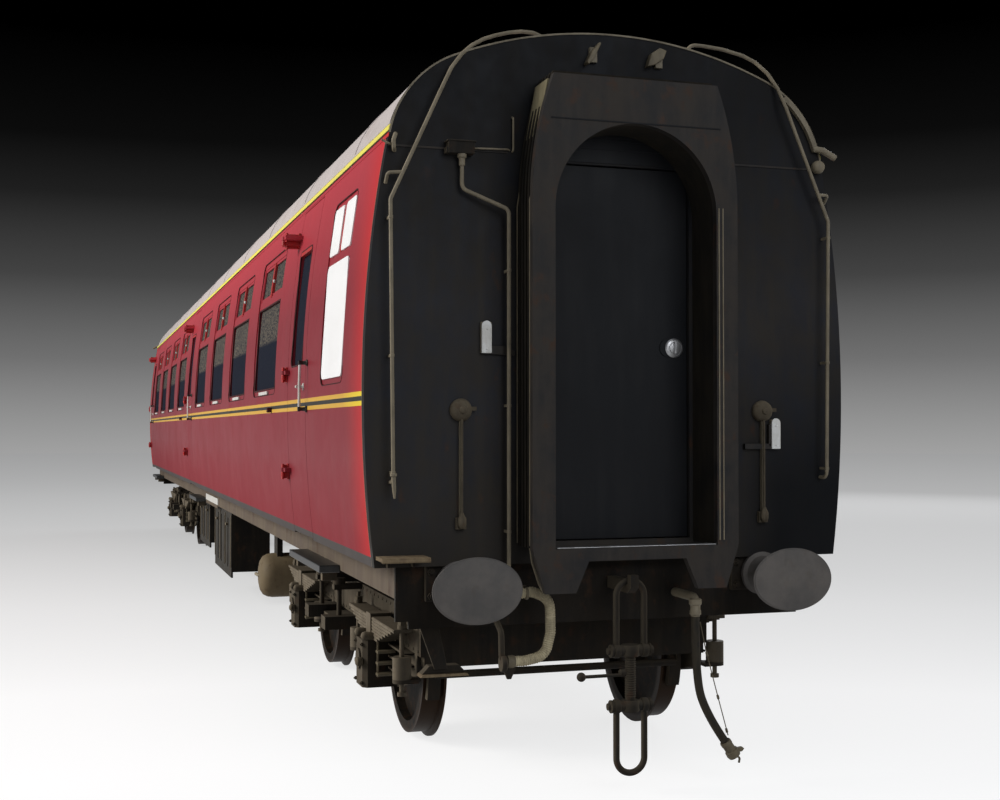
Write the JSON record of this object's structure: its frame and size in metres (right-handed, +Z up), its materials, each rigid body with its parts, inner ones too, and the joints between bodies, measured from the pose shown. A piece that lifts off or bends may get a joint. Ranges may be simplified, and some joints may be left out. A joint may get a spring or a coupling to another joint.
{
  "type": "passenger coach",
  "caption": "Corridor passenger coach with side doors, end gangways, screw couplings and two four-wheel bogies, maroon with a yellow waist line.",
  "frame": {"origin": "centre of the bounding box in plan, at the bottom of the wheel flanges", "axes": "X along the coach with the lavatory end at +X, Y to the side, Z up"},
  "size_m": [20.3, 2.828, 4.031],
  "materials": {
    "maroon": "satin, weathered",
    "end_black": "dull, grimy",
    "bellows": "dull folded fabric and rubber",
    "roof_grey": "matt",
    "floor_lino": "matt",
    "timber": "varnished",
    "upholstery": "woven",
    "dark_paint": "matt",
    "glass": "clear",
    "vent_red": "satin",
    "wheel_iron": "rusty tread, brown dust",
    "underframe": "brake dust over black",
    "hose_rubber": "dull",
    "step_wood": "weathered",
    "steel_grey": "worn",
    "white_paint": "dusty"
  },
  "bodies": {
    "coach": {"body_ends": "end_black", "body_sides": "maroon", "brake_hoses": "hose_rubber", "buffers": "underframe", "couplings": "underframe", "cross_bearers": "underframe", "door_hinges": "underframe", "end_fittings": "white_paint", "end_pipes": "steel_grey", "floor": "floor_lino", "gangway_bellows": "bellows", "gangway_faceplates": "end_black", "headstocks": "underframe", "heating_hoses": "hose_rubber", "hose_heads": "steel_grey", "luggage_racks": "steel_grey", "partitions": "timber", "roof": "roof_grey", "roof_ventilators": "roof_grey", "seat_backs": "upholstery", "seat_bases": "dark_paint", "seat_cushions": "upholstery", "solebars": "underframe", "steps": "step_wood", "tables": "timber", "underframe_gear": "underframe", "vent_frames": "vent_red", "window_frames": "maroon", "window_panes": "glass"},
    "bogie_front": {"axleboxes_front": "underframe", "bogie_bolster_front": "underframe", "bogie_frame_front": "underframe", "brakes_front": "underframe", "springs_front": "underframe"},
    "wheelset_front_outer": {"wheelset_front_outer": "wheel_iron"},
    "wheelset_front_inner": {"wheelset_front_inner": "wheel_iron"},
    "bogie_rear": {"axleboxes_rear": "underframe", "bogie_bolster_rear": "underframe", "bogie_frame_rear": "underframe", "brakes_rear": "underframe", "springs_rear": "underframe"},
    "wheelset_rear_outer": {"wheelset_rear_outer": "wheel_iron"},
    "wheelset_rear_inner": {"wheelset_rear_inner": "wheel_iron"},
    "door_front_left": {"door_front_left": "maroon", "door_front_left_pane": "glass"},
    "door_middle_left": {"door_middle_left": "maroon", "door_middle_left_pane": "glass"},
    "door_rear_left": {"door_rear_left": "maroon", "door_rear_left_pane": "glass"},
    "door_front_right": {"door_front_right": "maroon", "door_front_right_pane": "glass"},
    "door_middle_right": {"door_middle_right": "maroon", "door_middle_right_pane": "glass"},
    "door_rear_right": {"door_rear_right": "maroon", "door_rear_right_pane": "glass"},
    "gangway_door_front": {"gangway_door_front": "end_black"},
    "gangway_door_rear": {"gangway_door_rear": "end_black"}
  },
  "joints": [
    {"name": "bogie_front_pivot", "type": "hinge", "parent": "coach", "child": "bogie_front", "pos_m": [7.087, 0, 0.89], "axis": [0, 0, 1], "range_deg": [-3, 3]},
    {"name": "wheelset_front_outer_axle", "type": "hinge", "parent": "bogie_front", "child": "wheelset_front_outer", "pos_m": [8.3825, 0, 0.4875], "axis": [0, 1, 0], "continuous": true},
    {"name": "wheelset_front_inner_axle", "type": "hinge", "parent": "bogie_front", "child": "wheelset_front_inner", "pos_m": [5.7915, 0, 0.4875], "axis": [0, 1, 0], "continuous": true},
    {"name": "bogie_rear_pivot", "type": "hinge", "parent": "coach", "child": "bogie_rear", "pos_m": [-7.087, 0, 0.89], "axis": [0, 0, 1], "range_deg": [-3, 3]},
    {"name": "wheelset_rear_outer_axle", "type": "hinge", "parent": "bogie_rear", "child": "wheelset_rear_outer", "pos_m": [-8.3825, 0, 0.4875], "axis": [0, 1, 0], "continuous": true},
    {"name": "wheelset_rear_inner_axle", "type": "hinge", "parent": "bogie_rear", "child": "wheelset_rear_inner", "pos_m": [-5.7915, 0, 0.4875], "axis": [0, 1, 0], "continuous": true},
    {"name": "door_front_left_hinge", "type": "hinge", "parent": "coach", "child": "door_front_left", "pos_m": [7.2585, -1.4, 2.25], "axis": [0, 0, -1], "range_deg": [0, 90]},
    {"name": "door_middle_left_hinge", "type": "hinge", "parent": "coach", "child": "door_middle_left", "pos_m": [-1.2915, -1.4, 2.25], "axis": [0, 0, -1], "range_deg": [0, 90]},
    {"name": "door_rear_left_hinge", "type": "hinge", "parent": "coach", "child": "door_rear_left", "pos_m": [-9.4315, -1.4, 2.25], "axis": [0, 0, -1], "range_deg": [0, 90]},
    {"name": "door_front_right_hinge", "type": "hinge", "parent": "coach", "child": "door_front_right", "pos_m": [8.0015, 1.4, 2.25], "axis": [0, 0, -1], "range_deg": [0, 90]},
    {"name": "door_middle_right_hinge", "type": "hinge", "parent": "coach", "child": "door_middle_right", "pos_m": [-0.5485, 1.4, 2.25], "axis": [0, 0, -1], "range_deg": [0, 90]},
    {"name": "door_rear_right_hinge", "type": "hinge", "parent": "coach", "child": "door_rear_right", "pos_m": [-8.6885, 1.4, 2.25], "axis": [0, 0, -1], "range_deg": [0, 90]},
    {"name": "gangway_door_front_hinge", "type": "hinge", "parent": "coach", "child": "gangway_door_front", "pos_m": [9.726, -0.4265, 2.25], "axis": [0, 0, 1], "range_deg": [0, 90]},
    {"name": "gangway_door_rear_hinge", "type": "hinge", "parent": "coach", "child": "gangway_door_rear", "pos_m": [-9.726, 0.4265, 2.25], "axis": [0, 0, 1], "range_deg": [0, 90]}
  ]
}
